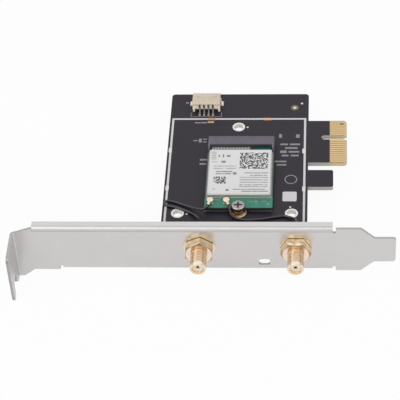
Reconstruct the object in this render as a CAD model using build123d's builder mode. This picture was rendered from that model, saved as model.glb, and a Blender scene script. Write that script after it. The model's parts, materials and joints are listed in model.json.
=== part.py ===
from build123d import *
from math import cos, radians, sin, tan
import os

# A one-lane wifi card: carrier board, folded bracket, socketed radio module and two antenna jacks.
# The origin is the key of the edge connector, at the finger tips and half way through the board.
# +X points into the slot, +Y runs away from the bracket and +Z is the component side.

# Carrier board
board_t = 1.57
board_w = 47.0
board_side = -12.86
board_near_gap = 4.5
board_far = 21.7
board_corner_r = 1.2
mount_hole_d = 3.2
mount_hole_spread = 36.8
near_hole_y = -35.7
far_hole_y = 5.1

# Edge connector
contact_pitch = 1.0
near_contacts = 11
far_contacts = 7
key_w = 1.9
key_depth = 8.45
key_to_contact = 1.5
end_margin = 0.65
bevel_l = 1.0
bevel_h = 0.45
tongue_corner = 0.5
contact_w = 0.7
contact_l = 4.6
short_contact_l = 3.3
contact_t = 0.05
hook_reach = 8.3
hook_w = 7.9
hook_gap = 3.5
hook_r = 0.8

# Bracket sheet
key_to_bracket = 57.15
tab_to_tips = 105.25
sheet_t = 0.86
bracket_l = 120.02
blade_w = 18.42
board_above_edge = 1.93
bend_r = 1.5
tab_d = 11.43
tab_low = -3.0
tab_high = 16.3
tab_bend_r = 1.3
tab_corner_r = 1.4
notch_w = 4.42
notch_depth = 6.2
notch_from_face = 6.35
notch_flare = 1.6
flare_start = 2.6
flare_end = 6.2
taper_end = 6.7
lip_start = 6.8
lip_d = 3.2
flange_start = 15.3
flange_flat = 0.5
fold_end = 100.5
relief_w = 0.95
relief_d = 1.7
shoulder_start = 109.2
shoulder_end = 113.4
tongue_w = 10.19
tongue_r = 1.0
light_slot_l = 3.5
light_slot_h = 2.65
light_slot_r = 0.9
light_slot_x = 79.2
light_slot_z = 3.6

# Bracket ears and their screws
ear_w = 9.0
ear_reach = 13.0
ear_bend = 4.0
ear_run = 2.2
ear_bend_r = 1.3
screw_d = 3.0
screw_head_d = 5.5
screw_head_h = 1.8
screw_tail = 1.0
screw_from_face = 9.2
screw_fit = 0.1

# Antenna jacks
jack_left = 59.0
jack_right = 89.1
jack_height = 10.7
jack_reach = 9.2
shank_d = 5.2
barrel_d = 4.8
barrel_lead = 0.35
barrel_to_nut = 0.15
flange_jack_d = 8.0
flange_jack_t = 1.9
neck_d = 3.4
neck_l = 3.6
jack_bore_d = 3.7
jack_bore_end = 1.6
core_d = 1.27
core_socket_d = 0.86
core_socket_l = 2.6
core_recess = 0.5
insulator_recess = 0.25
washer_d = 10.0
washer_t = 0.6
nut_flats = 8.4
nut_t = 3.0
nut_bevel = 0.45
nut_face_margin = 0.1
left_nut_turn = 25.0
right_nut_turn = 0.0
jack_hole_fit = 0.15
round_fit = 0.02
sleeve_t = 0.35
sleeve_cover = 2.6
sleeve_tail = 2.2

# Module socket
socket_l = 22.0
socket_x = -35.1
socket_near = -7.9
socket_d = 5.55
socket_h = 3.2
socket_floor = 0.7
socket_mouth_depth = 3.3
socket_end_r = 0.4
socket_bevel = 0.35
socket_pitch = 0.5
socket_count = 36
socket_key_x = 3.5
socket_key_w = 1.0
socket_key_clear = 1.1
spring_w = 0.22
spring_t = 0.15
spring_slot_w = 0.3
spring_slot_t = 0.3
spring_tail = 1.2
spring_tip = 0.5
comb_h = 0.55
comb_d = 1.4
tongue_side_fit = 0.12

# Radio module
module_w = 22.0
module_insert = 2.95
module_t = 0.8
module_lift = 1.0
module_edge_w = 19.85
module_edge_l = 4.0
module_corner_r = 0.5
module_notch_d = 3.5
module_key_w = 1.2
module_key_l = 3.5
can_w = 20.7
can_l = 21.2
can_h = 1.4
can_t = 0.2
can_r = 0.5
can_near = 4.55
can_to_socket = 1.3
label_inset = 0.15
label_t = 0.1
label_r = 1.0
chip_w = 9.0
chip_l = 10.0
chip_h = 0.9
chip_near = 6.0

# Standoff and its screw
standoff_d = 4.4
boss_fit = 0.1
pin_screw_d = 2.0
pin_head_d = 4.4
pin_head_h = 1.5
pin_head_r = 0.5
pin_screw_l = 1.6

# Antenna plugs on the module
plug_left = -9.15
plug_right = -3.9
left_plug_turn = -17.0
right_plug_turn = 22.0
plug_from_near = 2.4
receptacle_w = 2.0
receptacle_base_h = 0.35
receptacle_ring_d = 1.5
receptacle_ring_t = 0.2
receptacle_h = 1.1
receptacle_pin_d = 0.5
plug_d = 2.2
plug_h = 1.1
plug_roof = 0.3
plug_round = 0.2
plug_gap = 0.06
plug_barrel_d = 1.1
plug_barrel_l = 1.2
plug_bore_l = 1.2

# Antenna leads
lead_d = 0.81
lead_fit = 0.02
lead_turn = 0.45
plug_straight = 0.84
jack_straight = 2.0

# Wire header
header_from_side = 7.46
header_near = 12.85
header_w = 9.4
header_d = 5.5
header_h = 3.5
header_wall = 0.7
header_back = 1.0
header_dimple_d = 1.2
header_dimple_h = 0.35
header_dimple_spread = 5.6
header_dimple_from_far = 1.6
header_r = 0.25
header_count = 4
header_pitch = 1.5
pin_w = 0.45
pin_fit = 0.03
foot_slot_w = 0.75
foot_slot_h = 2.7
pin_inset = 0.08
pin_back_fit = 0.1
pin_height = 1.75
pin_reach = 3.6
pin_foot = 2.4
solder_tab_w = 1.9
solder_tab_t = 0.25
solder_tab_h = 1.7
solder_tab_foot = 0.9
solder_tab_from_far = 2.4

# Derived places
board_top = board_t / 2
board_bottom = -board_t / 2
board_left = board_side - board_w
board_mid_x = board_side - board_w / 2
bracket_y = -key_to_bracket
tab_x = -tab_to_tips
edge_z = board_bottom - board_above_edge
board_near = bracket_y + board_near_gap
tongue_near = -key_to_contact - (near_contacts - 1) * contact_pitch - end_margin
tongue_far = key_to_contact + (far_contacts - 1) * contact_pitch + end_margin
hook_far = tongue_near - hook_gap
hook_near = hook_far - hook_w
jack_z = edge_z + jack_height
jack_back = sheet_t + flange_jack_t
neck_end = jack_back + neck_l
nut_front = -washer_t - nut_t
nut_corner = nut_flats / 2 / cos(radians(30))
sleeve_end = neck_end + sleeve_tail
lead_bore_d = lead_d + 2 * lead_fit
module_low = board_top + module_lift
module_top = module_low + module_t
module_far = socket_near + module_insert
module_l = can_near + can_l + can_to_socket + module_insert
module_near = module_far - module_l
mouth_end = socket_near + socket_mouth_depth
socket_far = socket_near + socket_d
flange_d = bend_r + flange_flat
ear_rise = board_above_edge - sheet_t
screw_y = bracket_y + screw_from_face
hole_places = [
    (board_mid_x - mount_hole_spread / 2, near_hole_y),
    (board_mid_x + mount_hole_spread / 2, near_hole_y),
    (board_mid_x, far_hole_y),
]
screw_places = [
    (board_mid_x - mount_hole_spread / 2, screw_y),
    (board_mid_x + mount_hole_spread / 2, screw_y),
]
near_rows = [-key_to_contact - n * contact_pitch for n in range(near_contacts)]
far_rows = [key_to_contact + n * contact_pitch for n in range(far_contacts)]
spring_places = []
for n in range(socket_count):
    place = (n - (socket_count - 1) / 2) * socket_pitch
    if abs(place - socket_key_x) > socket_key_clear:
        spring_places.append(place)

parts = []


def keep(part, name):
    part.label = name
    parts.append(part)


# Folded bracket
face_plane = Plane(origin=(tab_x, bracket_y, edge_z), x_dir=(1, 0, 0), z_dir=(0, -1, 0))
tongue_low = (blade_w - tongue_w) / 2
tongue_high = tongue_low + tongue_w


def section_plane(along):
    """A plane across the bracket: its x runs back from the face and its y up from the edge."""
    return Plane(origin=(tab_x + along, bracket_y, edge_z), x_dir=(0, 1, 0), z_dir=(1, 0, 0))


with BuildPart() as io_bracket:
    with BuildSketch(face_plane):
        with BuildLine():
            Polyline(
                (tab_bend_r, tab_low),
                (flare_start, tab_low),
                (flare_end, 0),
                (shoulder_start, 0),
                (shoulder_end, tongue_low),
                (bracket_l, tongue_low),
                (bracket_l, tongue_high),
                (shoulder_end, tongue_high),
                (shoulder_start, blade_w),
                (taper_end, blade_w),
                (tab_bend_r, tab_high),
                close=True,
            )
        blade_face = make_face()
        fillet(blade_face.vertices().group_by(Axis.X)[-1], radius=tongue_r)
        with Locations((lip_start, blade_w)):
            Rectangle(
                fold_end - lip_start + relief_w,
                relief_d,
                align=(Align.MIN, Align.MAX),
                mode=Mode.SUBTRACT,
            )
        with Locations((flange_start - relief_w, 0)):
            Rectangle(
                fold_end - flange_start + 2 * relief_w,
                relief_d,
                align=(Align.MIN, Align.MIN),
                mode=Mode.SUBTRACT,
            )
    extrude(amount=-sheet_t)
    # Top lip
    with BuildSketch(section_plane(lip_start)):
        with BuildLine():
            FilletPolyline((0, blade_w - 2 * bend_r), (0, blade_w), (lip_d, blade_w), radius=bend_r)
            offset(amount=sheet_t, side=Side.RIGHT)
        make_face()
    extrude(amount=fold_end - lip_start)
    # Lower flange
    with BuildSketch(section_plane(flange_start)):
        with BuildLine():
            FilletPolyline((0, 2 * bend_r), (0, 0), (flange_d, 0), radius=bend_r)
            offset(amount=sheet_t, side=Side.LEFT)
        make_face()
    extrude(amount=fold_end - flange_start)
    # Stepped ears that carry the board
    for x, y in screw_places:
        with BuildSketch(section_plane(x - tab_x - ear_w / 2)):
            with BuildLine():
                FilletPolyline(
                    (bend_r, 0),
                    (ear_bend, 0),
                    (ear_bend + ear_run, ear_rise),
                    (ear_reach, ear_rise),
                    radius=ear_bend_r,
                )
                offset(amount=sheet_t, side=Side.LEFT)
            make_face()
        extrude(amount=ear_w)
    # Screw tab, folded forward
    with BuildSketch(Plane(origin=(tab_x, bracket_y, edge_z + tab_low))):
        with BuildLine():
            FilletPolyline((flare_start, sheet_t), (0, sheet_t), (0, -tab_d), radius=tab_bend_r)
            offset(amount=sheet_t, side=Side.LEFT)
        make_face()
    extrude(amount=tab_high - tab_low)
    fillet(io_bracket.edges().filter_by(Axis.X).group_by(Axis.Y)[0], radius=tab_corner_r)
    with BuildSketch(section_plane(0)):
        with Locations((-notch_from_face, tab_low)):
            SlotCenterToCenter(2 * notch_depth - notch_w, notch_w, rotation=90)
        with BuildLine():
            Polyline(
                (-notch_from_face - notch_w / 2 - notch_flare, tab_low),
                (-notch_from_face - notch_w / 2, tab_low + notch_flare),
                (-notch_from_face + notch_w / 2, tab_low + notch_flare),
                (-notch_from_face + notch_w / 2 + notch_flare, tab_low),
                close=True,
            )
        make_face()
    extrude(amount=sheet_t, mode=Mode.SUBTRACT)
    # Jack holes, light slot and ear holes
    with BuildSketch(face_plane):
        with Locations((jack_left, jack_height), (jack_right, jack_height)):
            Circle(shank_d / 2 + jack_hole_fit)
        with Locations((light_slot_x, light_slot_z)):
            RectangleRounded(light_slot_l, light_slot_h, light_slot_r)
    extrude(amount=-sheet_t, mode=Mode.SUBTRACT)
    with BuildSketch(Plane.XY.offset(board_bottom)):
        with Locations(*screw_places):
            Circle(screw_d / 2 + screw_fit)
    extrude(amount=-sheet_t, mode=Mode.SUBTRACT)
keep(io_bracket.part, "io_bracket")

# Carrier board
with BuildPart() as carrier_board:
    with BuildSketch(Plane.XY.offset(board_bottom)):
        with Locations((board_left, board_near)):
            Rectangle(board_w, board_far - board_near, align=(Align.MIN, Align.MIN))
        fillet(vertices(), radius=board_corner_r)
        with BuildLine():
            Polyline(
                (board_side - board_corner_r, tongue_near),
                (-tongue_corner, tongue_near),
                (0, tongue_near + tongue_corner),
                (0, tongue_far - tongue_corner),
                (-tongue_corner, tongue_far),
                (board_side - board_corner_r, tongue_far),
                close=True,
            )
        make_face()
        with Locations((board_side - hook_r, hook_near)):
            Rectangle(hook_reach + hook_r, hook_w, align=(Align.MIN, Align.MIN))
        fillet(vertices().filter_by(lambda v: abs(v.X - board_side - hook_reach) < hook_r), radius=hook_r)
        with Locations((0, 0)):
            SlotCenterToCenter(2 * key_depth - key_w, key_w, mode=Mode.SUBTRACT)
        with Locations(*hole_places):
            Circle(mount_hole_d / 2, mode=Mode.SUBTRACT)
        with Locations(*screw_places):
            Circle(screw_d / 2 + screw_fit, mode=Mode.SUBTRACT)
    extrude(amount=board_t)
    # Bevelled finger tips
    with BuildSketch(Plane.XZ.offset(-tongue_far)):
        with BuildLine():
            Polyline(
                (-bevel_l, board_top),
                (0, board_top),
                (0, board_top - bevel_h),
                close=True,
            )
        make_face()
        mirror(about=Plane.XZ)
    extrude(amount=tongue_far - tongue_near, mode=Mode.SUBTRACT)
keep(carrier_board.part, "carrier_board")

# Gold fingers on both faces
with BuildPart() as edge_contacts:
    for z, short_row, lift in (
        (board_top, far_rows[-2], contact_t),
        (board_bottom, near_rows[-1], -contact_t),
    ):
        with BuildSketch(Plane.XY.offset(z)):
            for y in near_rows + far_rows:
                length = short_contact_l if y == short_row else contact_l
                with Locations((-bevel_l - contact_l, y)):
                    Rectangle(length, contact_w, align=(Align.MIN, Align.CENTER))
        extrude(amount=lift)
keep(edge_contacts.part, "edge_contacts")

# Screws that hold the board on the ears
with BuildPart() as bracket_screws:
    with BuildSketch(Plane.XY.offset(board_top)):
        with Locations(*screw_places):
            Circle(screw_head_d / 2)
    extrude(amount=screw_head_h)
    fillet(bracket_screws.faces().sort_by(Axis.Z)[-2:].edges(), radius=screw_head_h / 2)
    with BuildSketch(Plane.XY.offset(board_top)):
        with Locations(*screw_places):
            Circle(screw_d / 2)
    extrude(amount=-(board_t + sheet_t + screw_tail))
keep(bracket_screws.part, "bracket_screws")

# Module socket
with BuildPart() as m2_socket_housing:
    with BuildSketch(Plane.XY.offset(board_top)):
        with Locations((socket_x, socket_near)):
            Rectangle(socket_l, socket_d, align=(Align.CENTER, Align.MIN))
        fillet(vertices(), radius=socket_end_r)
    extrude(amount=socket_h)
    chamfer(
        m2_socket_housing.faces().sort_by(Axis.Z)[-1].edges().sort_by(Axis.Y)[-1:],
        length=socket_bevel,
    )
    # Mouth for the module, split by the key rib
    mouth_h = 2 * (module_lift - socket_floor) + module_t
    with BuildSketch(Plane.XZ.offset(-socket_near)):
        with Locations((socket_x, board_top + socket_floor)):
            Rectangle(module_edge_w + 2 * tongue_side_fit, mouth_h, align=(Align.CENTER, Align.MIN))
        with Locations((socket_x + socket_key_x, board_top + socket_floor)):
            Rectangle(socket_key_w, mouth_h, align=(Align.CENTER, Align.MIN), mode=Mode.SUBTRACT)
    extrude(amount=-socket_mouth_depth, mode=Mode.SUBTRACT)
    # Comb of slots that guide the springs
    roof_z = board_top + socket_floor + mouth_h
    with BuildSketch(Plane.XZ.offset(-socket_near)):
        with Locations(*[(socket_x + place, roof_z) for place in spring_places]):
            Rectangle(spring_slot_w, comb_h, align=(Align.CENTER, Align.MIN))
    extrude(amount=-comb_d, mode=Mode.SUBTRACT)
    with BuildSketch(Plane.XZ.offset(-socket_far)):
        with Locations(*[(socket_x + place, board_top) for place in spring_places]):
            Rectangle(spring_slot_w, roof_z - board_top, align=(Align.CENTER, Align.MIN))
    extrude(amount=spring_slot_t, mode=Mode.SUBTRACT)
    with BuildSketch(Plane.XZ.offset(-socket_far)):
        with Locations(*[(socket_x + place, roof_z) for place in spring_places]):
            Rectangle(spring_slot_w, spring_slot_t, align=(Align.CENTER, Align.MAX))
    extrude(amount=socket_far - mouth_end, mode=Mode.SUBTRACT)
keep(m2_socket_housing.part, "m2_socket_housing")

# Sprung contacts: a foot on the board, a riser in the back wall and a beam that ends on the module
with BuildPart() as m2_socket_contacts:
    spring_play = (spring_slot_t - spring_t) / 2
    beam_low = roof_z - spring_play - spring_t
    riser_y = socket_far - spring_play - spring_t
    tip_y = socket_near + comb_d
    for place in spring_places:
        with BuildSketch(
            Plane(origin=(socket_x + place - spring_w / 2, 0, 0), x_dir=(0, 1, 0), z_dir=(1, 0, 0))
        ):
            with BuildLine():
                Polyline(
                    (socket_far + spring_tail, board_top),
                    (socket_far + spring_tail, board_top + spring_t),
                    (riser_y + spring_t, board_top + spring_t),
                    (riser_y + spring_t, beam_low + spring_t),
                    (tip_y, beam_low + spring_t),
                    (tip_y, module_top),
                    (tip_y + spring_tip, module_top),
                    (tip_y + spring_tip, beam_low),
                    (riser_y, beam_low),
                    (riser_y, board_top),
                    close=True,
                )
            make_face()
        extrude(amount=spring_w)
keep(m2_socket_contacts.part, "m2_socket_contacts")

# Radio board
with BuildPart() as module_board:
    with BuildSketch(Plane.XY.offset(module_low)):
        with Locations((socket_x, module_near)):
            Rectangle(module_w, module_l - module_edge_l, align=(Align.CENTER, Align.MIN))
        fillet(vertices(), radius=module_corner_r)
        with Locations((socket_x, module_far)):
            Rectangle(module_edge_w, 2 * module_edge_l, align=(Align.CENTER, Align.MAX))
        with Locations((socket_x + socket_key_x, module_far)):
            SlotCenterToCenter(
                2 * module_key_l - module_key_w, module_key_w, rotation=90, mode=Mode.SUBTRACT
            )
        with Locations((socket_x, module_near)):
            Circle(module_notch_d / 2, mode=Mode.SUBTRACT)
    extrude(amount=module_t)
keep(module_board.part, "module_board")

# Shield can over the radio chip
can_mid_y = module_near + can_near + can_l / 2
with BuildPart() as shield_can:
    with BuildSketch(Plane.XY.offset(module_top)):
        with Locations((socket_x, can_mid_y)):
            RectangleRounded(can_w, can_l, can_r)
    extrude(amount=can_h)
    fillet(shield_can.faces().sort_by(Axis.Z)[-1].edges(), radius=can_t)
    with BuildSketch(Plane.XY.offset(module_top)):
        with Locations((socket_x, can_mid_y)):
            RectangleRounded(can_w - 2 * can_t, can_l - 2 * can_t, can_r - can_t)
    extrude(amount=can_h - can_t, mode=Mode.SUBTRACT)
keep(shield_can.part, "shield_can")

with BuildPart() as wireless_chip:
    with BuildSketch(Plane.XY.offset(module_top)):
        with Locations((socket_x, module_near + can_near + chip_near)):
            Rectangle(chip_w, chip_l, align=(Align.CENTER, Align.MIN))
    extrude(amount=chip_h)
keep(wireless_chip.part, "wireless_chip")

with BuildPart() as module_label:
    with BuildSketch(Plane.XY.offset(module_top + can_h)):
        with Locations((socket_x, can_mid_y)):
            RectangleRounded(can_w - 2 * (can_t + label_inset), can_l - 2 * (can_t + label_inset), label_r)
    extrude(amount=label_t)
keep(module_label.part, "module_label")

# Standoff and the screw that clamps the module
with BuildPart() as m2_standoff:
    with BuildSketch(Plane.XY.offset(board_top)):
        with Locations((socket_x, module_near)):
            Circle(standoff_d / 2)
            Circle(pin_screw_d / 2 + round_fit, mode=Mode.SUBTRACT)
    extrude(amount=module_lift)
    # Boss that fills the module's notch
    with BuildSketch(Plane.XY.offset(module_low)):
        with Locations((socket_x, module_near)):
            Circle(module_notch_d / 2 - boss_fit)
            Circle(pin_screw_d / 2 + round_fit, mode=Mode.SUBTRACT)
    extrude(amount=module_t - boss_fit)
keep(m2_standoff.part, "m2_standoff")

with BuildPart() as m2_screw:
    with BuildSketch(Plane.XY.offset(module_top)):
        with Locations((socket_x, module_near)):
            Circle(pin_head_d / 2)
    extrude(amount=pin_head_h)
    fillet(m2_screw.faces().sort_by(Axis.Z)[-1].edges(), radius=pin_head_r)
    with BuildSketch(Plane.XY.offset(module_top)):
        with Locations((socket_x, module_near)):
            Circle(pin_screw_d / 2)
    extrude(amount=-pin_screw_l)
keep(m2_screw.part, "m2_screw")

# Antenna receptacles, plugs, leads and jacks
plug_y = module_near + plug_from_near
plug_low = module_top + receptacle_base_h + plug_gap
lead_z = plug_low + plug_barrel_d / 2
plug_reach = plug_d / 2 + plug_barrel_l
lead_lie = lead_d / 2 + round_fit


def lead_radii(points):
    """The largest arcs that the runs of a lead leave room for."""
    radii = []
    for before, corner, after in zip(points, points[1:], points[2:]):
        run_in = Vector(corner) - Vector(before)
        run_out = Vector(after) - Vector(corner)
        half_turn = radians(run_in.get_angle(run_out) / 2)
        radii.append(lead_turn * min(run_in.length, run_out.length) / tan(half_turn))
    return radii


# Points that each lead passes, with their height over the board: it leaves its plug towards the
# bracket, lies on the board and climbs to its jack
lead_routes = {
    "left": [
        (-46.5, -36.15, 2.15),
        (-48.8, -34.95, 1.3),
        (-51.2, -33.35, 0.65),
        (-54.2, -31.75, lead_lie),
        (-57.0, -30.55, lead_lie),
        (-58.6, -30.5, lead_lie),
        (-59.3, -31.1, lead_lie),
        (-59.3, -32.0, lead_lie),
        (-58.5, -32.65, lead_lie),
        (-55.4, -33.35, lead_lie),
        (-51.9, -35.0, lead_lie),
        (-49.5, -36.7, 0.7),
        (-47.7, -39.6, 1.95),
        (-46.6, -42.9, 4.0),
    ],
    "right": [
        (-37.75, -36.6, 1.6),
        (-36.8, -37.75, 0.75),
        (-35.1, -38.65, lead_lie),
        (-32.0, -39.15, lead_lie),
        (-27.6, -38.75, lead_lie),
        (-23.6, -37.85, lead_lie),
        (-20.3, -37.2, lead_lie),
        (-18.0, -38.1, 0.6),
        (-16.7, -40.2, 1.9),
        (-16.2, -43.0, 4.0),
    ],
}

for side, jack_along, plug_along, plug_turn, nut_turn in (
    ("left", jack_left, plug_left, left_plug_turn, left_nut_turn),
    ("right", jack_right, plug_right, right_plug_turn, right_nut_turn),
):
    plug_x = socket_x + plug_along
    jack_x = tab_x + jack_along
    plug_aim = Vector(sin(radians(plug_turn)), -cos(radians(plug_turn)), 0)
    plug_plane = Plane(
        origin=(plug_x, plug_y, lead_z),
        x_dir=(cos(radians(plug_turn)), sin(radians(plug_turn)), 0),
        z_dir=plug_aim,
    )
    jack_plane = Plane(origin=(jack_x, bracket_y, jack_z))
    jack_axis = Axis((jack_x, bracket_y, jack_z), (0, 1, 0))
    front_plane = Plane(origin=(jack_x, bracket_y, jack_z), x_dir=(1, 0, 0), z_dir=(0, -1, 0))

    with BuildPart() as receptacle:
        with BuildSketch(Plane.XY.offset(module_top)):
            with Locations((plug_x, plug_y)):
                Rectangle(receptacle_w, receptacle_w)
        extrude(amount=receptacle_base_h)
        with BuildSketch(Plane.XY.offset(module_top)):
            with Locations((plug_x, plug_y)):
                Circle(receptacle_ring_d / 2)
                Circle(receptacle_ring_d / 2 - receptacle_ring_t, mode=Mode.SUBTRACT)
                Circle(receptacle_pin_d / 2)
        extrude(amount=receptacle_h)
    keep(receptacle.part, "antenna_receptacle_" + side)

    with BuildPart() as plug:
        with BuildSketch(Plane.XY.offset(plug_low)):
            with Locations((plug_x, plug_y)):
                Circle(plug_d / 2)
        extrude(amount=plug_h)
        fillet(plug.faces().sort_by(Axis.Z)[-1].edges(), radius=plug_round)
        with BuildSketch(plug_plane):
            Circle(plug_barrel_d / 2)
        extrude(amount=plug_reach)
        with BuildSketch(Plane.XY.offset(plug_low)):
            with Locations((plug_x, plug_y)):
                Circle(receptacle_ring_d / 2 + round_fit)
        extrude(amount=plug_h - plug_roof, mode=Mode.SUBTRACT)
        with BuildSketch(plug_plane.offset(plug_reach)):
            Circle(lead_bore_d / 2)
        extrude(amount=-plug_bore_l, mode=Mode.SUBTRACT)
    keep(plug.part, "antenna_plug_" + side)

    lead_start = plug_plane.origin + plug_aim * (plug_reach - plug_bore_l)
    lead_exit = plug_plane.origin + plug_aim * (plug_reach + plug_straight)
    lead_middle = [(x, y, board_top + height) for x, y, height in lead_routes[side]]
    jack_entry = (jack_x, bracket_y + sleeve_end + jack_straight, jack_z)
    lead_end = (jack_x, bracket_y + jack_bore_end + lead_fit, jack_z)
    route = [lead_start, lead_exit] + lead_middle + [jack_entry, lead_end]
    radii = lead_radii(route)
    with BuildPart() as lead:
        with BuildLine() as lead_line:
            FilletPolyline(*route, radius=radii)
        with BuildSketch(plug_plane.offset(plug_reach - plug_bore_l)):
            Circle(lead_d / 2)
        sweep(path=lead_line.wire())
    keep(lead.part, "antenna_cable_" + side)
    print("lead", side, "length", round(lead_line.wire().length, 1))
    print("lead", side, "radii", [round(r, 1) for r in radii])

    with BuildPart() as sma_body:
        with BuildSketch(jack_plane):
            with BuildLine():
                Polyline(
                    (jack_bore_d / 2, -jack_reach),
                    (barrel_d / 2 - barrel_lead, -jack_reach),
                    (barrel_d / 2, -jack_reach + barrel_lead),
                    (barrel_d / 2, nut_front - barrel_to_nut),
                    (shank_d / 2, nut_front - barrel_to_nut),
                    (shank_d / 2, sheet_t),
                    (flange_jack_d / 2, sheet_t),
                    (flange_jack_d / 2, jack_back),
                    (neck_d / 2, jack_back),
                    (neck_d / 2, neck_end),
                    (lead_bore_d / 2, neck_end),
                    (lead_bore_d / 2, jack_bore_end),
                    (jack_bore_d / 2, jack_bore_end),
                    close=True,
                )
            make_face()
        revolve(axis=jack_axis)
    keep(sma_body.part, "sma_body_" + side)

    with BuildPart() as sma_insulator:
        with BuildSketch(front_plane.offset(-jack_bore_end)):
            Circle(jack_bore_d / 2 - round_fit)
            Circle(core_d / 2, mode=Mode.SUBTRACT)
        extrude(amount=jack_bore_end + jack_reach - insulator_recess)
    keep(sma_insulator.part, "sma_insulator_" + side)

    with BuildPart() as sma_contact:
        with BuildSketch(front_plane.offset(-jack_bore_end)):
            Circle(core_d / 2 - round_fit)
        extrude(amount=jack_bore_end + jack_reach - core_recess)
        with BuildSketch(front_plane.offset(jack_reach - core_recess)):
            Circle(core_socket_d / 2)
        extrude(amount=-core_socket_l, mode=Mode.SUBTRACT)
    keep(sma_contact.part, "sma_contact_" + side)

    with BuildPart() as sma_washer:
        with BuildSketch(front_plane):
            Circle(washer_d / 2)
            Circle(shank_d / 2 + round_fit, mode=Mode.SUBTRACT)
        extrude(amount=washer_t)
    keep(sma_washer.part, "sma_washer_" + side)

    with BuildPart() as sma_nut:
        with BuildSketch(front_plane.offset(washer_t)):
            RegularPolygon(nut_flats / 2, 6, major_radius=False, rotation=nut_turn)
            Circle(shank_d / 2 + round_fit, mode=Mode.SUBTRACT)
        extrude(amount=nut_t)
        with BuildSketch(jack_plane):
            with BuildLine():
                Polyline(
                    (0, -washer_t),
                    (nut_corner, -washer_t),
                    (nut_corner, nut_front + nut_bevel),
                    (nut_flats / 2 - nut_face_margin, nut_front),
                    (0, nut_front),
                    close=True,
                )
            make_face()
        revolve(axis=jack_axis, mode=Mode.INTERSECT)
    keep(sma_nut.part, "sma_nut_" + side)

    with BuildPart() as crimp_sleeve:
        with BuildSketch(jack_plane):
            with BuildLine():
                Polyline(
                    (neck_d / 2 + round_fit, neck_end - sleeve_cover),
                    (neck_d / 2 + sleeve_t, neck_end - sleeve_cover),
                    (neck_d / 2 + sleeve_t, neck_end),
                    (lead_d / 2 + sleeve_t, sleeve_end),
                    (lead_bore_d / 2, sleeve_end),
                    (lead_bore_d / 2, neck_end + round_fit),
                    (neck_d / 2 + round_fit, neck_end + round_fit),
                    close=True,
                )
            make_face()
        revolve(axis=jack_axis)
    keep(crimp_sleeve.part, "crimp_sleeve_" + side)

# Wire header at the far edge, open away from the bracket
header_far = header_near + header_d
header_x = board_left + header_from_side + header_w / 2
pin_row = [header_x + (n - (header_count - 1) / 2) * header_pitch for n in range(header_count)]
with BuildPart() as header_housing:
    with BuildSketch(Plane.XY.offset(board_top)):
        with Locations((header_x, header_near)):
            Rectangle(header_w, header_d, align=(Align.CENTER, Align.MIN))
    extrude(amount=header_h)
    fillet(header_housing.edges().filter_by(Axis.Z), radius=header_r)
    with BuildSketch(Plane.XZ.offset(-header_far)):
        with Locations((header_x, board_top + header_h / 2)):
            Rectangle(header_w - 2 * header_wall, header_h - 2 * header_wall)
    extrude(amount=header_d - header_back, mode=Mode.SUBTRACT)
    # Dimples in the roof and square holes for the pins
    with BuildSketch(Plane.XY.offset(board_top + header_h)):
        with Locations((header_x, header_far - header_dimple_from_far)):
            with GridLocations(header_dimple_spread, 1, 2, 1):
                Circle(header_dimple_d / 2)
    extrude(amount=-header_dimple_h, mode=Mode.SUBTRACT)
    with BuildSketch(Plane.XZ.offset(-header_near)):
        with Locations(*[(x, board_top + pin_height) for x in pin_row]):
            Rectangle(pin_w + 2 * pin_fit, pin_w + 2 * pin_fit)
    extrude(amount=-header_back, mode=Mode.SUBTRACT)
    # Open slots in the back wall, one for each pin to come down in
    with BuildSketch(Plane.XZ.offset(-header_near)):
        with Locations(*[(x, board_top) for x in pin_row]):
            Rectangle(foot_slot_w, foot_slot_h, align=(Align.CENTER, Align.MIN))
    extrude(amount=-(pin_inset + pin_w + pin_back_fit), mode=Mode.SUBTRACT)
keep(header_housing.part, "header_housing")

with BuildPart() as header_pins:
    pin_riser_y = header_near + pin_inset + pin_w
    for x in pin_row:
        with BuildSketch(Plane(origin=(x - pin_w / 2, 0, board_top), x_dir=(0, 1, 0), z_dir=(1, 0, 0))):
            with BuildLine():
                Polyline(
                    (pin_riser_y - pin_foot, 0),
                    (pin_riser_y, 0),
                    (pin_riser_y, pin_height - pin_w / 2),
                    (header_near + header_back + pin_reach, pin_height - pin_w / 2),
                    (header_near + header_back + pin_reach, pin_height + pin_w / 2),
                    (pin_riser_y - pin_w, pin_height + pin_w / 2),
                    (pin_riser_y - pin_w, pin_w / 2),
                    (pin_riser_y - pin_foot, pin_w / 2),
                    close=True,
                )
            make_face()
        extrude(amount=pin_w)
keep(header_pins.part, "header_pins")

with BuildPart() as header_tabs:
    tab_y = header_far - solder_tab_from_far
    for turn in (-1, 1):
        wall_x = header_x + turn * header_w / 2
        with BuildSketch(Plane(origin=(0, tab_y, board_top), x_dir=(1, 0, 0), z_dir=(0, 1, 0))):
            with BuildLine():
                Polyline(
                    (wall_x, 0),
                    (wall_x + turn * solder_tab_foot, 0),
                    (wall_x + turn * solder_tab_foot, -solder_tab_t),
                    (wall_x + turn * solder_tab_t, -solder_tab_t),
                    (wall_x + turn * solder_tab_t, -solder_tab_h),
                    (wall_x, -solder_tab_h),
                    close=True,
                )
            make_face()
        extrude(amount=solder_tab_w)
keep(header_tabs.part, "header_tabs")

os.makedirs("parts", exist_ok=True)
for part in parts:
    export_step(part, "parts/" + part.label + ".step")
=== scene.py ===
import json
import math

import bmesh
import bpy
from mathutils import Matrix, Vector


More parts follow.
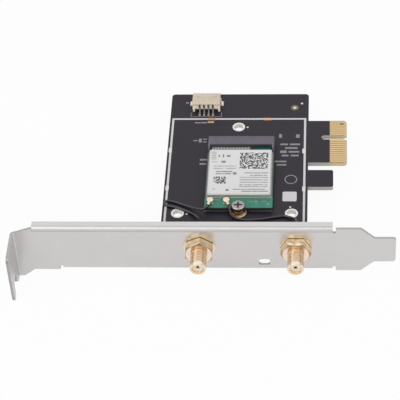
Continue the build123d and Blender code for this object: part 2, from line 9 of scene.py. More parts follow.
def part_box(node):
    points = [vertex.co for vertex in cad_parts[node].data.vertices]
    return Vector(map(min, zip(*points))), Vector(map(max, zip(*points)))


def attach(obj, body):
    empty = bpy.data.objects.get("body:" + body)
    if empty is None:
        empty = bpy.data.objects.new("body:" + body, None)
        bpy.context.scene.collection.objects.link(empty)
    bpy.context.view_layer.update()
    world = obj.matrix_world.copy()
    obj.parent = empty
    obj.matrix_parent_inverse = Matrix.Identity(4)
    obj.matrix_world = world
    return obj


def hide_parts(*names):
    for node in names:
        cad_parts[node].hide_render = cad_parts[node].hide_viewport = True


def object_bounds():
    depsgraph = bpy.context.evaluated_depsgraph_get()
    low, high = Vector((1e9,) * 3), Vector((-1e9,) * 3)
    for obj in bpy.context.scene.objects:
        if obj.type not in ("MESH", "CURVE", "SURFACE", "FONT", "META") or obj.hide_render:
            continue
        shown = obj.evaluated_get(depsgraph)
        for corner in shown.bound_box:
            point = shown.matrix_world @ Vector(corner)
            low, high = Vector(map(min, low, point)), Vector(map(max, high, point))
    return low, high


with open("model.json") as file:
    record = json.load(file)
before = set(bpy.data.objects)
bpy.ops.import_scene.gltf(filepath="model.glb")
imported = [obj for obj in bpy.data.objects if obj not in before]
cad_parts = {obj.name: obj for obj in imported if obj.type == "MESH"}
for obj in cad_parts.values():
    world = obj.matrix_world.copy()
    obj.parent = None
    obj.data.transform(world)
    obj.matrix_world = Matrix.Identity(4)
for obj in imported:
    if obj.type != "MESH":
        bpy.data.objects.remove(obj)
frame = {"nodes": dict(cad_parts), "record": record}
cad_low, cad_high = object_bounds()
nodes = frame["nodes"]

MM = 0.001


def corners(node):
    """A node's lowest and highest corners, in millimetres."""
    low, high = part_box(node)
    return low / MM, high / MM


def centre_of(node):
    """The middle of a node's box, in millimetres."""
    low, high = corners(node)
    return (low + high) / 2


# Sizes and places, in millimetres in the part's frame
BOARD_LOW, BOARD_HIGH = corners("carrier_board")
MODULE_LOW, MODULE_HIGH = corners("module_board")
CAN_LOW, CAN_HIGH = corners("shield_can")
SOCKET_LOW, SOCKET_HIGH = corners("m2_socket_housing")
HEADER_LOW, HEADER_HIGH = corners("header_housing")
BOARD_TOP = BOARD_HIGH.z
MODULE_TOP = MODULE_HIGH.z
FLOOR_Z = cad_low.z / MM
SINK = 0.02

# Board: plated holes, print and pads
BOARD_SIDE = -12.86
BOARD_MID = (BOARD_LOW.x + BOARD_SIDE) / 2
HOLE_SPREAD = 36.8
HOLE_COLUMNS = (BOARD_MID - HOLE_SPREAD / 2, BOARD_MID + HOLE_SPREAD / 2)
NEAR_HOLES_Y = -35.7
FAR_HOLE_Y = 5.1
PLATED_HOLES = [(x, NEAR_HOLES_Y) for x in HOLE_COLUMNS] + [(BOARD_MID, FAR_HOLE_Y)]
HOLE_R = 1.6
RIM_R = 2.1
RIM_H = 0.05
INK_H = 0.02
PAD_H = 2 * INK_H
PAD_CORNER = 0.12
INK_LINE = 0.7
INK_NEAR = -50.5
INK_FRAME = (-59.15, -13.65, INK_NEAR, 9.5)
SPOT_X, SPOT_Y = -17.6, 14.75
SPOT_R = 0.55
SPOT_SLOPE = 0.1
SPOT_RING_R = 1.35
SPOT_RING_HOLE = 0.5

# Contact fingers of the edge connector
FINGER_START = -5.75
FINGER_SIDE = -13.0
BEVEL_START = -1.0

# Sheet of the bracket
SHEET_T = 0.86
PLATE_FACE = corners("sma_washer_left")[1].y
PLATE_FRONT = PLATE_FACE + SINK
PLATE_BACK = PLATE_FACE + SHEET_T - SINK
TAB_INNER = corners("io_bracket")[0].x + SHEET_T - SINK

# Antenna jacks
JACKS = {side: centre_of("sma_nut_" + side).x for side in ("left", "right")}
JACK_Z = centre_of("sma_nut_left").z
JACK_TIP = corners("sma_body_left")[0].y
NUT_BACK = corners("sma_nut_left")[1].y
NUT_SEAT = 0.24
COLLAR_PROUD = 0.55
COLLAR_TIP = JACK_TIP - COLLAR_PROUD
COLLAR_L = 1.2
COLLAR_R = 2.6
COLLAR_WALL = 0.35
COLLAR_SLOPE = 0.2
COLLAR_FOOT = 0.9
COLLAR_SKIN = 0.06
THREAD_FROM_TIP = 0.85
THREAD_TURNS = 6
THREAD_STEPS = 40
THREAD_PITCH = 0.7056
THREAD_ROOT = 2.36
THREAD_CREST = 2.6
THREAD_FOOT = 0.94
THREAD_LAND = 0.2

# Module, its socket and its screw
SOCKET_MID = centre_of("m2_socket_housing").x
SOCKET_END = 0.7
SOCKET_OPEN = 1.05
SOCKET_OPEN_H = 3.0
SOCKET_AHEAD = 0.5
SOCKET_CLEAR = 0.1
COMB_D = 1.4
CONTACT_PITCH = 0.5
CONTACT_RIB = 0.2
TAIL_COUNT = 36
TAIL_HALF = 0.15
TAIL_NEAR, TAIL_FAR = 0.2, 1.6
KEY_FROM_MID = 3.5
KEY_HALF = 1.1
EDGE_PADS = 27
EDGE_PAD_FIRST = 1.3
EDGE_PAD_W = 0.3
EDGE_PAD_OUT = 1.05
EDGE_PAD_IN = SOCKET_OPEN + 0.3
PADS_END = -31.0
SEAM_OUT = 0.22
SEAM_NEAR = 0.26
SEAM_W = 0.4
SEAM_H = 0.12
SEAM_R = 0.5
STANDOFF = (SOCKET_MID, MODULE_LOW.y)
STANDOFF_PAD_R = 2.75
STANDOFF_PAD_HOLE = 2.15

# Cross-head screws: radii, heights, and arm, width and depth of the recess
MODULE_SCREW = dict(head_r=2.2, head_h=1.5, head_round=0.5, shank_r=1.0, arm=1.45, width=0.66, depth=0.9)
EAR_SCREW = dict(head_r=2.75, head_h=1.8, head_round=0.9, shank_r=1.5, arm=1.6, width=0.62, depth=1.0)
EAR_SCREWS = [(x, centre_of("bracket_screws").y) for x in HOLE_COLUMNS]
RECESS_TAPER = 0.62
RECESS_REACH = 1.6
RECESS_SHADE = 0.1

# Wire header
HEADER_SKIN = 0.1
HEADER_BACK = 1.0
PIN_COUNT = 4
PIN_PITCH = 1.5
PIN_FIRST = centre_of("header_housing").x - (PIN_COUNT - 1) / 2 * PIN_PITCH
HEADER_PINS = [PIN_FIRST + count * PIN_PITCH for count in range(PIN_COUNT)]
PIN_SHADE = 0.6
RIB_END = 2.5
GAP_SIDE = 1.7
GAP_AHEAD = 0.5
GAP_D = 1.2
GAP_BASE = BOARD_TOP - 0.1
GAP_H = 1.5
SLOT_HALF = 0.26
SLOT_AHEAD = 0.3
SLOT_D = 0.5
SLOT_BASE = BOARD_TOP + 2.0
SLOT_ROOF = 0.25
FOOT_HALF = 0.34
FOOT_NEAR, FOOT_FAR = 2.1, 0.25

# Light, in the levels and metres that the lamps and the world take
FLOOR_SEEN = 0.94
FLOOR_MIRRORED = 0.5
FLOOR_SIZE = 6.0
SKY = 0.5
SKY_MIRRORED = 0.96
BAND_HEIGHT, BAND_REACH, BAND_DEPTH = 0.28, 0.2, 0.5

# Camera, at the photograph's angle
AIM = Vector((-45.007, -57.15, 28.485)) * MM
DISTANCE = 556.061 * MM
ELEVATION, YAW, ROLL = (math.radians(angle) for angle in (45.06, -5.744, 4.006))
FOCAL_PIXELS = 1830.293
IMAGE_PIXELS = 400
SENSOR = 36.0


class Term:
    """A number that varies over a surface, written as part of an expression."""

    def __init__(self, graph, socket):
        self.graph = graph
        self.socket = socket

    def math(self, operation, first, second=0.0):
        node = self.graph.node("Math", {"operation": operation}, {0: first, 1: second})
        return Term(self.graph, node.outputs[0])

    def __add__(self, other):
        return self.math("ADD", self, other)

    __radd__ = __add__

    def __mul__(self, other):
        return self.math("MULTIPLY", self, other)

    __rmul__ = __mul__

    def __sub__(self, other):
        return self.math("SUBTRACT", self, other)

    def __rsub__(self, other):
        return self.math("SUBTRACT", other, self)

    def __truediv__(self, other):
        return self.math("DIVIDE", self, other)

    def __rtruediv__(self, other):
        return self.math("DIVIDE", other, self)

    def __mod__(self, other):
        return self.math("FLOORED_MODULO", self, other)

    def __gt__(self, other):
        return self.math("GREATER_THAN", self, other)

    def __lt__(self, other):
        return self.math("LESS_THAN", self, other)

    def __or__(self, other):
        return self.math("MAXIMUM", self, other)

    __ror__ = __or__

    def __abs__(self):
        return self.math("ABSOLUTE", self)

    def floor(self):
        return self.math("FLOOR", self)

    def root(self):
        return self.math("SQRT", self)


class Graph:
    """A tree of shader nodes."""

    def __init__(self, tree):
        self.tree = tree

    def node(self, kind, settings, sockets):
        made = self.tree.nodes.new("ShaderNode" + kind)
        for name, value in settings.items():
            setattr(made, name, value)
        for name, value in sockets.items():
            self.feed(made.inputs[name], value)
        return made

    def feed(self, socket, value):
        if isinstance(value, Term):
            value = value.socket
        if isinstance(value, bpy.types.NodeSocket):
            self.tree.links.new(value, socket)
        else:
            socket.default_value = value

    def backdrop(self, seen, mirrored, other=0.0):
        """A level for the rays of the picture, for those of its reflections, and for the rest."""
        path = self.node("LightPath", {}, {})
        rays = ("Is Camera Ray", "Is Glossy Ray", "Is Transmission Ray")
        camera, glossy, through = (Term(self, path.outputs[name]) for name in rays)
        bounced = (glossy | through) * (1.0 - camera)
        return camera * seen + bounced * mirrored + (1.0 - camera - bounced) * other


class Finish(Graph):
    """One material, made from nodes on the part's own coordinates in millimetres."""

    def __init__(self, name):
        self.material = bpy.data.materials.new(name)
        self.material.use_nodes = True
        super().__init__(self.material.node_tree)
        self.shader = self.tree.nodes["Principled BSDF"]
        here = self.node("TexCoord", {}, {}).outputs["Object"]
        scaled = self.node("VectorMath", {"operation": "SCALE"}, {0: here, "Scale": 1 / MM})
        self.place = scaled.outputs[0]
        parts = self.node("SeparateXYZ", {}, {0: self.place})
        self.x, self.y, self.z = (Term(self, socket) for socket in parts.outputs)

    def surface(self, **inputs):
        """Feeds the shader: Base_Color stands for Base Color, and so on."""
        for name, value in inputs.items():
            self.feed(self.shader.inputs[name.replace("_", " ")], value)
        return self.material

    def noise(self, scale, detail=3.0, stretch=(1.0, 1.0, 1.0), roughness=0.55):
        spot = self.node("VectorMath", {"operation": "MULTIPLY"}, {0: self.place, 1: stretch})
        sockets = {"Vector": spot.outputs[0], "Scale": scale, "Detail": detail, "Roughness": roughness}
        return Term(self, self.node("TexNoise", {}, sockets).outputs[0])

    def speck(self, cell):
        """A random number for each square cell of the x-y plane."""
        spot = self.node("CombineXYZ", {}, {0: (self.x / cell).floor(), 1: (self.y / cell).floor()})
        made = self.node("TexWhiteNoise", {"noise_dimensions": "2D"}, {0: spot.outputs[0]})
        return Term(self, made.outputs[0])

    def within(self, coordinate, low, high):
        """1 where a coordinate lies between two values."""
        return abs(coordinate - (low + high) / 2) < (high - low) / 2

    def field(self, left, right, near, far):
        """1 inside a rectangle of the x-y plane."""
        return self.within(self.x, left, right) * self.within(self.y, near, far)

    def normal(self):
        parts = self.node("SeparateXYZ", {}, {0: self.node("NewGeometry", {}, {}).outputs["Normal"]})
        return [Term(self, socket) for socket in parts.outputs]

    def cut_edge(self):
        """1 on walls that stand upright, such as the cut edges of a board."""
        return abs(self.normal()[2]) < 0.4

    def mix(self, mask, first, second):
        return self.node("Mix", {"data_type": "RGBA"}, {0: mask, 6: first, 7: second}).outputs[2]

    def shade(self, colour, level):
        """A colour made lighter or darker by a level that varies about 1."""
        return self.node("VectorMath", {"operation": "SCALE"}, {0: colour[:3], "Scale": level}).outputs[0]

    def bump(self, height, depth):
        return self.node("Bump", {}, {"Height": height, "Distance": depth * MM, "Strength": 1.0}).outputs[0]


def rgb(red, green, blue):
    """A colour from its display values of 0 to 255."""
    def linear(value):
        share = value / 255
        return share / 12.92 if share <= 0.04045 else ((share + 0.055) / 1.055) ** 2.4
    return (linear(red), linear(green), linear(blue), 1.0)


def satin_nickel():
    """Brushed plate of the bracket, darker and rough at its sheared edges, with a painted dark reflection
    line at either end of a fold.
    """
    finish = Finish("satin_nickel")
    lean, band = 0.22, 0.1
    grain = finish.noise(14.0, 4.0, stretch=(0.05, 1.0, 1.0))
    cloud = finish.noise(0.09, 3.0)
    handled = finish.noise(0.5, 5.0, roughness=0.7)
    nx, ny, nz = finish.normal()
    plate_edge = (finish.y > PLATE_FRONT) * (finish.y < PLATE_BACK) * (abs(ny) < 0.5)
    tab_edge = (finish.x < TAB_INNER) * (abs(nx) < 0.5)
    sheared = plate_edge | tab_edge
    # The fold lines are a painted reflection: a dark line at each end of a fold
    fold_start = (abs(nz - lean) < band) * (ny < -0.5)
    fold_end = (abs(ny + lean) < band) * (nz > 0.5)
    edge_and_fold_dark = sheared * 0.3 + (fold_start | fold_end) * 0.26
    return finish.surface(
        Base_Color=finish.shade(rgb(218, 215, 215), 0.95 + grain * 0.03 + cloud * 0.07 - edge_and_fold_dark),
        Metallic=1.0,
        Roughness=0.24 + grain * 0.08 + handled * 0.08 + sheared * 0.2,
        Normal=finish.bump(grain, 0.01),
    )


def black_mask():
    """Black lacquer over the board, with bare laminate at its cut edges and between the contact fingers."""
    finish = Finish("black_mask")
    cut = finish.cut_edge()
    window = (finish.x > FINGER_START) * (finish.y > FINGER_SIDE)
    worked = (finish.x > BEVEL_START) | cut
    peel = finish.noise(3.0, 3.0)
    pour = finish.noise(0.14, 2.0)
    fibre = finish.noise(6.0, 2.0, stretch=(1.0, 1.0, 9.0))
    lacquer = finish.shade(rgb(33, 28, 38), 0.85 + pour * 0.3)
    laminate = finish.shade(rgb(178, 144, 96), 0.85 + fibre * 0.25)
    tip = finish.mix(worked, laminate, rgb(216, 198, 160))
    edge = finish.shade(rgb(194, 190, 187), 0.8 + fibre * 0.4)
    face = finish.mix(window, lacquer, tip)
    return finish.surface(
        Base_Color=finish.mix(cut * (1.0 - window), face, edge),
        Roughness=0.4 + peel * 0.12 + (cut | window) * 0.25,
        Specular_IOR_Level=0.43,
        Normal=finish.bump(peel, 0.01),
    )


def gold(name, colour, rough, grain_run):
    """Gold plate; the machining grain is stretched along the axes of grain_run."""
    finish = Finish(name)
    grain = finish.noise(10.0, 3.0, stretch=grain_run)
    tarnish = finish.noise(0.6, 4.0)
    return finish.surface(
        Base_Color=finish.shade(colour, 0.9 + tarnish * 0.2),
        Metallic=1.0,
        Roughness=rough + grain * 0.1 + tarnish * 0.05,
        Normal=finish.bump(grain, 0.008),
    )


def nut_gold():
    """Gold plate, pale on the turned face, with painted dark reflections in streaks on the milled flats,
    painted brown shade on the chamfers and a painted shadow line at the seat.
    """
    finish = Finish("nut_gold_plate")
    along = abs(finish.normal()[1])
    flat = along < 0.2
    chamfer = (along > 0.2) * (along < 0.93)
    # Painted shadow line in the groove at the nut's seat
    seat = finish.y > NUT_BACK - NUT_SEAT
    milled = finish.noise(9.0, 3.0, stretch=(1.0, 0.15, 1.0))
    reflection_streak = finish.noise(0.75, 0.0)
    tarnish = finish.noise(0.6, 4.0)
    bright = finish.shade(rgb(248, 233, 212), 0.88 + tarnish * 0.16)
    # The milled flats take painted reflections, darker and lighter in streaks
    painted_dark_flats = finish.shade(rgb(252, 224, 190), 0.46 + reflection_streak * 1.05)
    # Painted brown shade on the chamfers
    turned = finish.mix(chamfer, bright, rgb(190, 144, 102))
    return finish.surface(
        Base_Color=finish.mix(seat, finish.mix(flat, turned, painted_dark_flats), rgb(138, 94, 56)),
        Metallic=1.0,
        Roughness=0.1 + milled * 0.08 + tarnish * 0.05,
        Normal=finish.bump(milled, 0.008),
    )


def thread_gold():
    """Gold plate on a thread: pale on the crests, with painted shade brown in the grooves."""
    finish = Finish("thread_gold_plate")
    aside = abs(finish.x - (JACKS["left"] + JACKS["right"]) / 2) - (JACKS["right"] - JACKS["left"]) / 2
    lift = finish.z - JACK_Z
    out = (aside * aside + lift * lift).root()
    crest = (out - THREAD_ROOT) / (THREAD_CREST - THREAD_ROOT)
    wear = finish.noise(2.5, 3.0)
    return finish.surface(
        # Painted shade: brown at the thread's root, pale at its crest
        Base_Color=finish.mix(crest, rgb(112, 74, 42), rgb(240, 212, 178)),
        Metallic=1.0,
        Roughness=0.14 + wear * 0.12,
        Normal=finish.bump(wear, 0.006),
    )


def spring_gold():
    """Gold plate of the socket's springs, darkened nearly to black by painted shade where they lie in its
    mouth.
    """
    finish = Finish("spring_gold_plate")
    grain = finish.noise(10.0, 3.0)
    # Painted shade inside the socket's mouth
    inside = finish.y < SOCKET_HIGH.y
    return finish.surface(
        Base_Color=finish.shade(rgb(222, 198, 150), 0.9 + grain * 0.2 - inside * 0.85),
        Metallic=1.0,
        Roughness=0.26 + grain * 0.1,
        Normal=finish.bump(grain, 0.008),
    )


def plate(finish, colour, rough, sunk=0.0):
    """Metal plate with a fine grain; where it is sunk it is dull, with painted shade."""
    grain = finish.noise(8.0, 4.0)
    cloud = finish.noise(0.8, 3.0)
    return finish.surface(
        Base_Color=finish.shade(colour, 0.88 + cloud * 0.24 - sunk * 0.6),
        Metallic=1.0,
        Roughness=rough + grain * 0.14 + sunk * 0.3,
        Normal=finish.bump(grain, 0.01),
    )


def plated(name, colour, rough):
    return plate(Finish(name), colour, rough)


def recessed(name, colour, rough, places, node):
    """Plate of cross-head screws, with painted shade in the recesses."""
    finish = Finish(name)
    near = 0.0
    for x, y in places:
        aside, along = finish.x - x, finish.y - y
        near = (aside * aside + along * along < RECESS_REACH ** 2) | near
    top = corners(node)[1].z
    # Painted shade inside the cross recesses, below the top of the head
    return plate(finish, colour, rough, near * (finish.z < top - RECESS_SHADE))


def solder(name, colour, metal):
    """Tin, bright with a soft frosted skin."""
    finish = Finish(name)
    frost = finish.noise(5.0, 5.0, roughness=0.7)
    flow = finish.noise(0.9, 2.0)
    return finish.surface(
        Base_Color=finish.shade(colour, 0.88 + flow * 0.2),
        Metallic=metal,
        Roughness=0.22 + frost * 0.3,
        Normal=finish.bump(frost, 0.03),
    )


def moulding(finish, colour, rough, lit=0.0):
    """Moulded plastic with fine pits and soft flow marks, made lighter or darker by painted light and shade
    given as lit.
    """
    pit = finish.noise(7.0, 3.0)
    flow = finish.noise(0.5, 2.0, stretch=(1.0, 0.4, 1.0))
    return finish.surface(
        Base_Color=finish.shade(colour, 0.92 + flow * 0.16 + lit),
        Roughness=rough + pit * 0.16,
        Normal=finish.bump(pit, 0.02),
    )


def moulded(name, colour, rough):
    return moulding(Finish(name), colour, rough)


def header_nylon():
    """Cream nylon, with a painted highlight at the ends of the ribs and painted shade inside the slots that
    the pins come down in.
    """
    finish = Finish("header_nylon")
    front = HEADER_LOW.y + HEADER_SKIN
    behind = (finish.y > front) * (finish.y < HEADER_LOW.y + HEADER_BACK - HEADER_SKIN)
    between = (finish.x > HEADER_PINS[0] - PIN_SHADE) * (finish.x < HEADER_PINS[-1] + PIN_SHADE)
    # Painted shade inside the slots
    inside = behind * between * (finish.z < HEADER_HIGH.z - HEADER_SKIN)
    # Painted highlight at the lower ends of the ribs
    rib_end_highlight = (finish.y < front) * (finish.z < HEADER_LOW.z + RIB_END)
    return moulding(finish, rgb(222, 208, 188), 0.4, rib_end_highlight * 0.5 - inside * 0.75)


def socket_nylon():
    """Grey nylon whose top shows faint ribs over the contacts, with painted shade along the comb at its
    mouth.
    """
    finish = Finish("socket_nylon")
    rib = (finish.x % CONTACT_PITCH < CONTACT_RIB) * (finish.normal()[2] > 0.6)
    comb_x = finish.within(finish.x, SOCKET_LOW.x + SOCKET_END, SOCKET_HIGH.x - SOCKET_END)
    # Painted shade along the comb of contacts at the socket's mouth
    comb_shade = (finish.y < SOCKET_LOW.y + COMB_D) * comb_x
    pit = finish.noise(7.0, 3.0)
    flow = finish.noise(0.35, 2.0, stretch=(1.0, 0.3, 1.0))
    return finish.surface(
        Base_Color=finish.shade(rgb(110, 105, 117), 0.86 + flow * 0.3 - rib * 0.08 - comb_shade * 0.6),
        Roughness=0.36 + pit * 0.14,
        Normal=finish.bump(pit * 0.3 - rib, 0.03),
    )


def green_mask():
    """Green lacquer over raised tracks, dull beside the can, with painted shadow over the end with the
    contact pads, deeper where the pads lie.
    """
    finish = Finish("green_mask")
    cut = finish.cut_edge()
    pour = finish.noise(1.1, 2.0, roughness=0.4)
    tracks = finish.noise(2.2, 1.0, stretch=(1.0, 0.3, 1.0))
    raised = (tracks > 0.52) * 0.16
    # Painted shadow under the socket's roof at the module's pad end
    pad_end_shadow = (finish.y > CAN_HIGH.y) * (0.5 + (finish.x < PADS_END) * 0.35)
    green = finish.shade(rgb(58, 136, 114), 0.86 + pour * 0.25 + raised - pad_end_shadow)
    beside = (1.0 - finish.within(finish.x, CAN_LOW.x, CAN_HIGH.x)) * (finish.y > CAN_LOW.y)
    lacquer = finish.mix(beside, green, rgb(84, 104, 98))
    edge = finish.shade(rgb(66, 74, 60), 0.8 + tracks * 0.4)
    return finish.surface(
        Base_Color=finish.mix(cut, lacquer, edge),
        Roughness=0.28 + pour * 0.14 + cut * 0.3,
        Normal=finish.bump(raised, 0.02),
    )


def printed_film():
    """White film with fields of print: two speckled squares, rows of plain grey rules and a few marks."""
    finish = Finish("printed_film")
    fibre = finish.noise(5.0, 4.0)
    gaps = finish.noise(1.9, 1.0, stretch=(1.0, 0.7, 1.0)) > 0.38
    squares = finish.field(-35.2, -25.9, -18.5, -10.8) | finish.field(-43.5, -39.4, -25.5, -22.1)
    cover = squares * (finish.speck(0.36) > 0.42) * 0.92
    # Each row of rules: left, right, heights, width of a rule, depth of its grey
    rows = (
        (-43.7, -36.2, (-17.2, -18.3), 0.4, 0.56),
        (-42.85, -37.55, (-19.74, -20.75), 0.5, 0.72),
        (-33.5, -25.8, (-20.4,), 0.46, 0.62),
        (-31.6, -25.8, (-21.5,), 0.46, 0.66),
        (-35.0, -25.8, (-22.5, -23.65, -24.75, -25.9, -26.7), 0.46, 0.54),
        (-37.1, -26.6, (-28.0,), 0.46, 0.56),
        (-34.6, -25.6, (-28.9,), 0.46, 0.7),
        (-44.7, -43.0, (-10.6, -11.4, -12.2, -13.0, -13.8), 0.42, 0.5),
        (-44.5, -42.6, (-15.2,), 0.5, 0.4),
        (-43.9, -42.7, (-27.9,), 0.6, 0.3),
    )
    for left, right, heights, width, depth in rows:
        lines = 0.0
        for height in heights:
            lines = (abs(finish.y - height) < width / 2) | lines
        cover = cover | finish.within(finish.x, left, right) * lines * gaps * depth
    marks = (
        (-42.35, -41.85, -12.9, -11.9),
        (-40.95, -40.45, -13.1, -11.6),
        (-39.6, -38.4, -12.85, -11.95),
        (-41.3, -39.8, -15.6, -14.7),
        (-37.3, -36.1, -21.2, -20.1),
        (-39.4, -38.4, -28.75, -27.85),
    )
    for mark in marks:
        cover = cover | finish.field(*mark) * 0.74
    paper = finish.shade(rgb(236, 236, 236), 0.97 + fibre * 0.05)
    return finish.surface(
        Base_Color=finish.mix(cover, paper, rgb(66, 66, 70)),
        Roughness=0.46 + fibre * 0.12,
        Normal=finish.bump(fibre, 0.006),
    )


def lead_jacket():
    """Smooth black jacket with a little dust."""
    finish = Finish("lead_jacket")
    skin = finish.noise(6.0, 3.0)
    dust = finish.noise(1.2, 4.0)
    return finish.surface(
        Base_Color=finish.shade(rgb(40, 39, 42), 0.8 + dust * 0.4),
        Roughness=0.2 + skin * 0.12,
        Specular_IOR_Level=0.8,
        Normal=finish.bump(skin, 0.008),
    )


def screen_ink(name, colour):
    """Screen-printed ink, a little uneven in its cover."""
    finish = Finish(name)
    cover = finish.noise(3.5, 3.0)
    return finish.surface(
        Base_Color=finish.shade(colour, 0.88 + cover * 0.2),
        Roughness=0.5 + cover * 0.1,
        Normal=finish.bump(cover, 0.008),
    )


# Finishes of the record's slots, and those of single nodes and new pieces
ALONG_X = (0.12, 1.0, 1.0)
ROUND_Y = (0.15, 1.0, 0.15)
finishes = {
    "bracket_steel": satin_nickel(),
    "board_black": black_mask(),
    "contact_gold": gold("contact_gold_plate", rgb(228, 200, 152), 0.26, ALONG_X),
    "jack_gold": gold("jack_gold_plate", rgb(246, 218, 184), 0.12, ROUND_Y),
    "screw_steel": plated("screw_nickel", rgb(206, 202, 198), 0.22),
    "socket_plastic": socket_nylon(),
    "standoff_brass": gold("standoff_turned_brass", rgb(196, 156, 98), 0.26, ALONG_X),
    "module_green": green_mask(),
    "can_steel": solder("can_tin_plate", rgb(206, 207, 202), 0.55),
    "label_white": printed_film(),
    "chip_black": moulded("chip_epoxy", rgb(38, 38, 40), 0.5),
    "header_cream": header_nylon(),
    "pin_tin": plated("pin_tin_plate", rgb(226, 222, 212), 0.24),
    "plug_metal": plated("plug_pale_gold", rgb(244, 224, 200), 0.24),
    "lead_black": lead_jacket(),
    "insulator_white": moulded("insulator_wax_white", rgb(236, 218, 198), 0.34),
    "sleeve_black": moulded("sleeve_shrink", rgb(36, 36, 38), 0.4),
}
ink_white = screen_ink("ink_white", rgb(228, 226, 228))
ink_faint = screen_ink("ink_faint", rgb(150, 148, 154))
solder_tin = solder("solder_tin", rgb(236, 232, 222), 0.6)
pad_tin = solder("pad_tin", rgb(242, 242, 238), 0.15)
rim_tin = solder("rim_tin", rgb(252, 250, 243), 0.3)
foot_tin = solder("foot_tin", rgb(176, 174, 164), 0.6)
spot_gold = gold("spot_pale_gold", rgb(240, 232, 204), 0.3, ALONG_X)
spot_laminate = screen_ink("spot_laminate", rgb(122, 114, 84))
module_nickel = recessed("module_nickel", rgb(176, 166, 168), 0.16, [STANDOFF], "m2_screw")
ear_nickel = recessed("ear_nickel", rgb(206, 202, 198), 0.22, EAR_SCREWS, "bracket_screws")
groove_gold = thread_gold()
collar_gold = gold("collar_pale_gold", rgb(248, 234, 212), 0.1, ROUND_Y)
bright_nut = nut_gold()
washer_gold = gold("washer_pale_gold", rgb(238, 226, 200), 0.2, ROUND_Y)
bare_copper = plated("bare_copper", rgb(226, 186, 150), 0.3)

for row in frame["record"]["subparts"]:
    mesh = nodes[row["node"]].data
    mesh.materials.clear()
    mesh.materials.append(finishes[row["material_slot"]])
for side in JACKS:
    nodes["sma_washer_" + side].data.materials[0] = washer_gold
    nodes["sma_nut_" + side].data.materials[0] = bright_nut
nodes["m2_socket_contacts"].data.materials[0] = spring_gold()
nodes["header_pins"].data.materials[0] = foot_tin


def choose(piece):
    """Makes one piece the only selected one."""
    bpy.ops.object.select_all(action="DESELECT")
    piece.select_set(True)
    bpy.context.view_layer.objects.active = piece


def begin(name, add, place, **settings):
    """Starts a piece from one primitive at a place in millimetres, all selected and open for editing."""
    bpy.ops.object.select_all(action="DESELECT")
    add(location=Vector(place) * MM, **settings)
    piece = bpy.context.object
    piece.name = piece.data.name = name
    bpy.ops.object.transform_apply(location=True, rotation=True, scale=True)
    bpy.ops.object.mode_set(mode="EDIT")
    bpy.ops.mesh.select_all(action="SELECT")
    return piece


def disc(name, place, radius, vertices, **settings):
    """Starts a piece from a filled circle."""
    return begin(
        name, bpy.ops.mesh.primitive_circle_add, place,
        vertices=vertices, radius=radius * MM, fill_type="NGON", **settings,
    )


def pick(piece, test, kind="FACE"):
    """Selects the faces, edges or vertices of the open piece whose middle, in millimetres, passes a test."""
    bpy.ops.mesh.select_mode(type=kind)
    bpy.ops.mesh.select_all(action="DESELECT")
    mesh = bmesh.from_edit_mesh(piece.data)
    for element in {"FACE": mesh.faces, "EDGE": mesh.edges, "VERT": mesh.verts}[kind]:
        points = [element.co] if kind == "VERT" else [vertex.co for vertex in element.verts]
        if test(sum(points, Vector()) / len(points) / MM):
            element.select_set(True)
    mesh.select_flush_mode()
    bmesh.update_edit_mesh(piece.data)


def extrude(x, y, z):
    """Extrudes what is selected by a step in millimetres."""
    bpy.ops.mesh.extrude_region_move(TRANSFORM_OT_translate={"value": Vector((x, y, z)) * MM})


def inset(thickness, **settings):
    """Insets the selected faces by a width in millimetres."""
    bpy.ops.mesh.inset(thickness=thickness * MM, **settings)


def shift(x, y, z):
    """Moves what is selected by a step in millimetres."""
    bpy.ops.transform.translate(value=Vector((x, y, z)) * MM)


def resize(x, y, z, about):
    """Scales what is selected about a place in millimetres."""
    bpy.ops.transform.resize(value=(x, y, z), center_override=Vector(about) * MM)


def modify(piece, kind, **settings):
    """Adds a modifier and applies it."""
    bpy.ops.object.mode_set(mode="OBJECT")
    choose(piece)
    modifier = piece.modifiers.new(kind.lower(), kind)
    for name, value in settings.items():
        setattr(modifier, name, value)
    bpy.ops.object.modifier_apply(modifier=modifier.name)


def thicken(piece, thickness, offset):
    """Gives a sheet its thickness in millimetres; offset 1 grows it along its normals, -1 against them."""
    modify(piece, "SOLIDIFY", thickness=thickness * MM, offset=offset)


def soften(piece, width, angle):
    """Rounds the edges that turn by more than an angle in degrees."""
    modify(
        piece, "BEVEL", width=width * MM, segments=2,
        limit_method="ANGLE", angle_limit=math.radians(angle),
    )


def face_outwards(piece):
    """Turns all faces of a closed piece outwards."""
    bpy.ops.object.mode_set(mode="OBJECT")
    choose(piece)
    bpy.ops.object.mode_set(mode="EDIT")
    bpy.ops.mesh.select_all(action="SELECT")
    bpy.ops.mesh.normals_make_consistent(inside=False)
    bpy.ops.object.mode_set(mode="OBJECT")


def subtract(piece, cutter):
    """Cuts one piece out of another and removes it."""
    face_outwards(cutter)
    modify(piece, "BOOLEAN", operation="DIFFERENCE", object=cutter, solver="EXACT")
    bpy.data.objects.remove(cutter)


def close(piece, material, angle=35.0):
    """Ends the editing of a piece and sets its finish and its body."""
    if bpy.context.mode != "OBJECT":
        bpy.ops.object.mode_set(mode="OBJECT")
    choose(piece)
    bpy.ops.object.shade_smooth_by_angle(angle=math.radians(angle))
    piece.data.materials.clear()
    piece.data.materials.append(material)
    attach(piece, "root")
    return piece


def copy_of(piece, name):
    """A copy with its own mesh, all selected and open for editing."""
    twin = piece.copy()
    twin.data = piece.data.copy()
    twin.name = twin.data.name = name
    bpy.context.scene.collection.objects.link(twin)
    choose(twin)
    bpy.ops.object.mode_set(mode="EDIT")
    bpy.ops.mesh.select_all(action="SELECT")
    return twin


